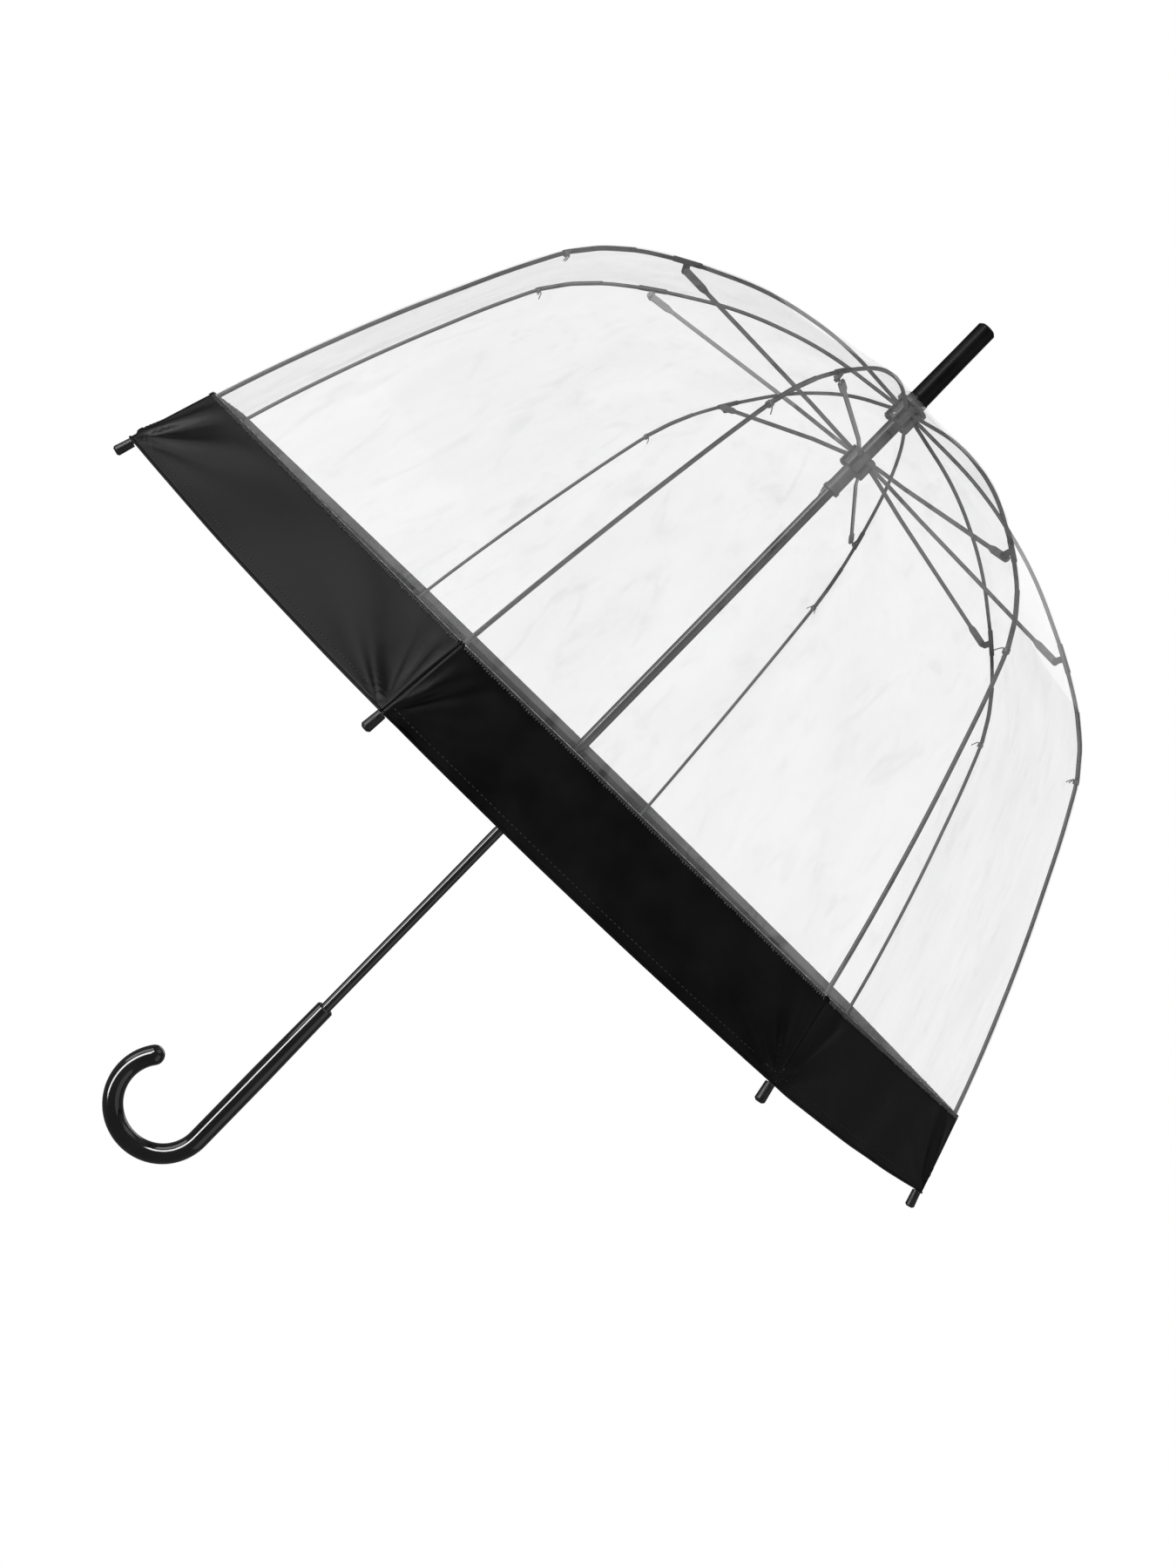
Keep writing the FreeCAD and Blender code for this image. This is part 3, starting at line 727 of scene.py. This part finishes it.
def make_tie(index):
    """Thread wound round the rib and sewn to the film, with two loose ends."""
    number = str(index + 1)
    azimuth = rib_azimuth(index)
    at = int(np.argmin(np.abs(RIB_LINE[:, 0] - TIE_RADIUS)))
    spot = RIB_LINE[at]
    along = RIB_LINE[at + 2] - spot
    along /= np.linalg.norm(along)
    out = np.array([-along[1], along[0]])
    coil = []
    for a in np.linspace(0, TIE_TURNS * 2 * math.pi, TIE_TURN_POINTS * TIE_TURNS):
        shift = along * TIE_PITCH * a / (2 * math.pi)
        across = TIE_COIL_R * math.sin(a)
        lift = TIE_COIL_R * math.cos(a)
        coil.append((spot[0] + shift[0] + out[0] * lift, across, spot[1] + shift[1] + out[1] * lift))
    parts = [tube(turn(coil, azimuth), TIE_THREAD_R, sides=6)]
    draw = np.random.default_rng(TIE_SEED + index)
    for side in (-1, 1):
        start = np.array([spot[0] - out[0] * TAIL_DEPTH, TAIL_APART * side, spot[1] - out[1] * TAIL_DEPTH])
        reach = np.array([draw.uniform(-0.003, 0.001), side * draw.uniform(0.001, 0.003),
                          draw.uniform(-0.004, -0.002)])
        steps = np.linspace(0, 1, TAIL_POINTS)[:, None]
        tail = start + reach * steps + np.array(TAIL_DROOP) * steps ** 2
        parts.append(tube(turn(tail, azimuth), TIE_THREAD_R, sides=5))
    piece = add_object("rib_tie_" + number, *join_parts(parts), MATERIALS["tie"])
    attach(piece, "rib_lower_" + number)


# ---- camera, light and stage ----
CAMERA_TARGET = (0.0247, 0.0, 0.346)
CAMERA_DISTANCE = 1.467
CAMERA_ELEVATION = 1.43
CAMERA_ROLL = 44.31
CAMERA_LENS = 42.73
CAMERA_SENSOR = 36.0


def make_camera():
    data = bpy.data.cameras.new("camera")
    data.lens = CAMERA_LENS
    data.sensor_width = CAMERA_SENSOR
    data.sensor_fit = "AUTO"
    camera = bpy.data.objects.new("camera", data)
    bpy.context.scene.collection.objects.link(camera)
    bpy.context.scene.camera = camera
    up_angle = math.radians(CAMERA_ELEVATION)
    forward = Vector((0, math.cos(up_angle), -math.sin(up_angle)))
    right = forward.cross(Vector((0, 0, 1))).normalized()
    up = right.cross(forward)
    roll = math.radians(CAMERA_ROLL)
    across = right * math.cos(roll) + up * math.sin(roll)
    above = -right * math.sin(roll) + up * math.cos(roll)
    matrix = Matrix((across, above, -forward)).transposed().to_4x4()
    matrix.translation = Vector(CAMERA_TARGET) - forward * CAMERA_DISTANCE
    camera.matrix_world = matrix


def area_light(name, place, target, width, height, power):
    """A rectangular light in watts, which faces its target."""
    data = bpy.data.lights.new(name, "AREA")
    data.shape = "RECTANGLE"
    data.size = width
    data.size_y = height
    data.energy = power
    light = bpy.data.objects.new(name, data)
    bpy.context.scene.collection.objects.link(light)
    direction = Vector(target) - Vector(place)
    facing = direction.to_track_quat("-Z", "Y").to_matrix().to_4x4()
    light.matrix_world = Matrix.Translation(place) @ facing
    return light


WHITE = (1, 1, 1, 1)
BLACK = (0, 0, 0, 1)
WORLD_SEEN = 1.0
WORLD_ON_MATT = 0.8
WORLD_IN_GLOSS = 0.10


def make_world():
    """A studio that is white behind the object, softer on it and dim in what its gloss picks up.

    What lights matt surfaces is the default, because a light sample carries no kind of ray.
    """
    world = bpy.data.worlds.new("studio")
    bpy.context.scene.world = world
    world.use_nodes = True
    nodes, links = world.node_tree.nodes, world.node_tree.links
    nodes.clear()
    path = nodes.new("ShaderNodeLightPath")
    result = add_node(nodes, "ShaderNodeBackground", Color=WHITE, Strength=WORLD_ON_MATT)
    for strength, ray in ((WORLD_IN_GLOSS, "Is Glossy Ray"), (WORLD_SEEN, "Is Camera Ray")):
        shade = add_node(nodes, "ShaderNodeBackground", Color=WHITE, Strength=strength)
        mix = nodes.new("ShaderNodeMixShader")
        links.new(path.outputs[ray], mix.inputs["Fac"])
        links.new(result.outputs[0], mix.inputs[1])
        links.new(shade.outputs[0], mix.inputs[2])
        result = mix
    out = nodes.new("ShaderNodeOutputWorld")
    links.new(result.outputs[0], out.inputs["Surface"])


FLOOR_GAP = 0.004
FLOOR_REACH = 6.0


def make_floor():
    """A floor just below the hook that glows white, and takes no light and no shadow."""
    material, _, _, shader = new_material("floor_white")
    shader.inputs["Base Color"].default_value = BLACK
    shader.inputs["Specular IOR Level"].default_value = 0.0
    shader.inputs["Emission Color"].default_value = WHITE
    shader.inputs["Emission Strength"].default_value = 1.0
    low = CAD_BOX[0][2] - FLOOR_GAP
    far = FLOOR_REACH
    corners = [(-far, -far, low), (far, -far, low), (far, far, low), (-far, far, low)]
    floor = add_object("floor", corners, [(0, 1, 2, 3)], material, smooth=False)
    floor.visible_glossy = False
    floor.visible_diffuse = False
    floor.visible_shadow = False


# name, place, what it faces, width, height, radiance in W per m2 and steradian, whether it lights matt
# surfaces as well as gloss
SOFTBOXES = [
    ("strip_left", (-1.20, -1.32, 0.0), (0, 0, 0.0), 0.42, 2.8, 12.0, False),
    ("panel_left", (-1.90, -0.55, 0.5), (0, 0, 0.35), 0.9, 1.8, 1.6, True),
    ("panel_right", (1.60, -1.00, 0.3), (0, 0, 0.35), 1.6, 2.4, 0.35, True),
    ("back", (0.2, 2.20, 1.4), (0, 0, 0.35), 1.8, 1.0, 1.2, True),
    ("top", (0.3, -0.20, 2.4), (0, 0, 0.35), 1.4, 1.4, 0.6, True),
]


def make_lights():
    """Flat lights, each with a power of pi times its radiance times its area."""
    for name, place, target, width, height, radiance, on_matt in SOFTBOXES:
        light = area_light(name, place, target, width, height, radiance * math.pi * width * height)
        light.visible_diffuse = on_matt


bpy.context.scene.view_settings.view_transform = "Standard"
make_camera()
make_world()
make_floor()
make_lights()
paint_cad_nodes()

for index in range(RIB_COUNT):
    for piece in make_panel(index) + make_hem(index):
        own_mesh(piece)
    make_rib_bend(index)
    make_tie(index)
